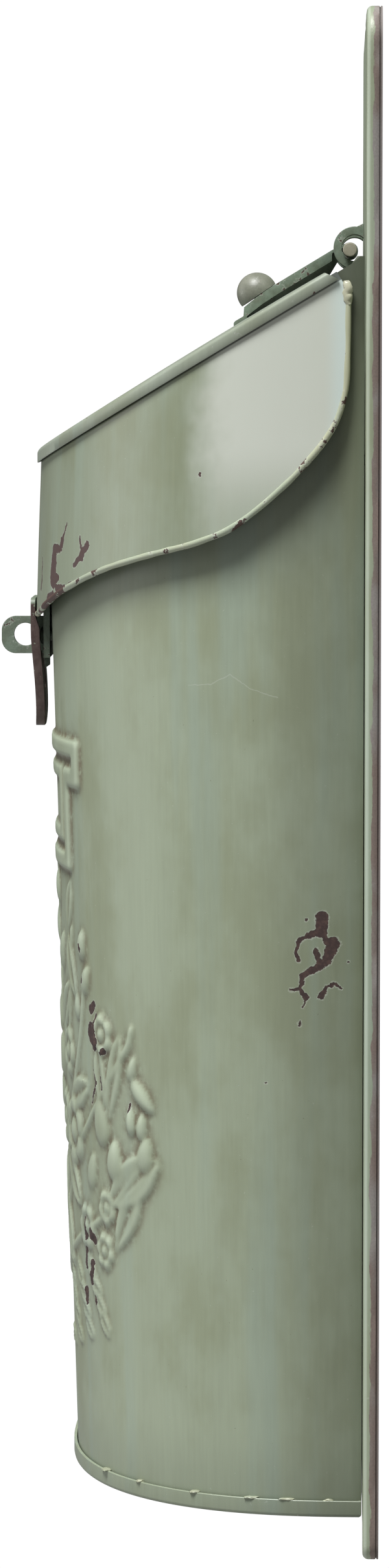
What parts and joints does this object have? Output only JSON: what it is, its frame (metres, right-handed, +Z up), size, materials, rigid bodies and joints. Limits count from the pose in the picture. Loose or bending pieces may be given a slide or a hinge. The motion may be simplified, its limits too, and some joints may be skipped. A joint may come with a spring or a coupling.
{
  "type": "wall mailbox",
  "caption": "D-shaped sheet metal wall mailbox with a sloping hinged lid, deep skirt, ball knob, and a slotted hasp over a padlock staple.",
  "frame": {"origin": "middle of the lower lip on the rear of the back plate, where the box lies on the wall", "axes": "+X right seen from the front, +Y into the wall, +Z up"},
  "size_m": [0.26, 0.1173, 0.45],
  "materials": {
    "plate_paint": "satin sage green paint, edges worn to brown primer",
    "body_paint": "satin sage green paint with a brushed olive glaze and chips",
    "lid_paint": "satin pale sage green paint with a brushed olive glaze and chips",
    "hardware_paint": "dark grey-green paint, slightly rubbed",
    "worn_strap": "dark brown primer showing through worn green paint"
  },
  "bodies": {
    "box": {"back_plate": "plate_paint", "body_shell": "body_paint", "bottom_pan": "body_paint", "body_rivet_left_1": "body_paint", "body_rivet_left_2": "body_paint", "body_rivet_left_3": "body_paint", "body_rivet_right_1": "body_paint", "body_rivet_right_2": "body_paint", "body_rivet_right_3": "body_paint", "hinge_pin": "hardware_paint", "hinge_bracket_left": "hardware_paint", "hinge_bracket_right": "hardware_paint", "bracket_rivet_left": "hardware_paint", "bracket_rivet_right": "hardware_paint", "staple": "hardware_paint", "staple_rivet_left": "hardware_paint", "staple_rivet_right": "hardware_paint"},
    "lid": {"lid_top": "lid_paint", "lid_skirt": "lid_paint", "skirt_hem": "lid_paint", "hinge_strap": "hardware_paint", "lid_knob": "hardware_paint", "knob_screw": "hardware_paint", "hasp_strap": "worn_strap"}
  },
  "joints": [
    {"name": "lid_hinge", "type": "hinge", "parent": "box", "child": "lid", "pos_m": [0, -0.0091, 0.3783], "axis": [-1, 0, 0], "range_deg": [0, 108]}
  ]
}
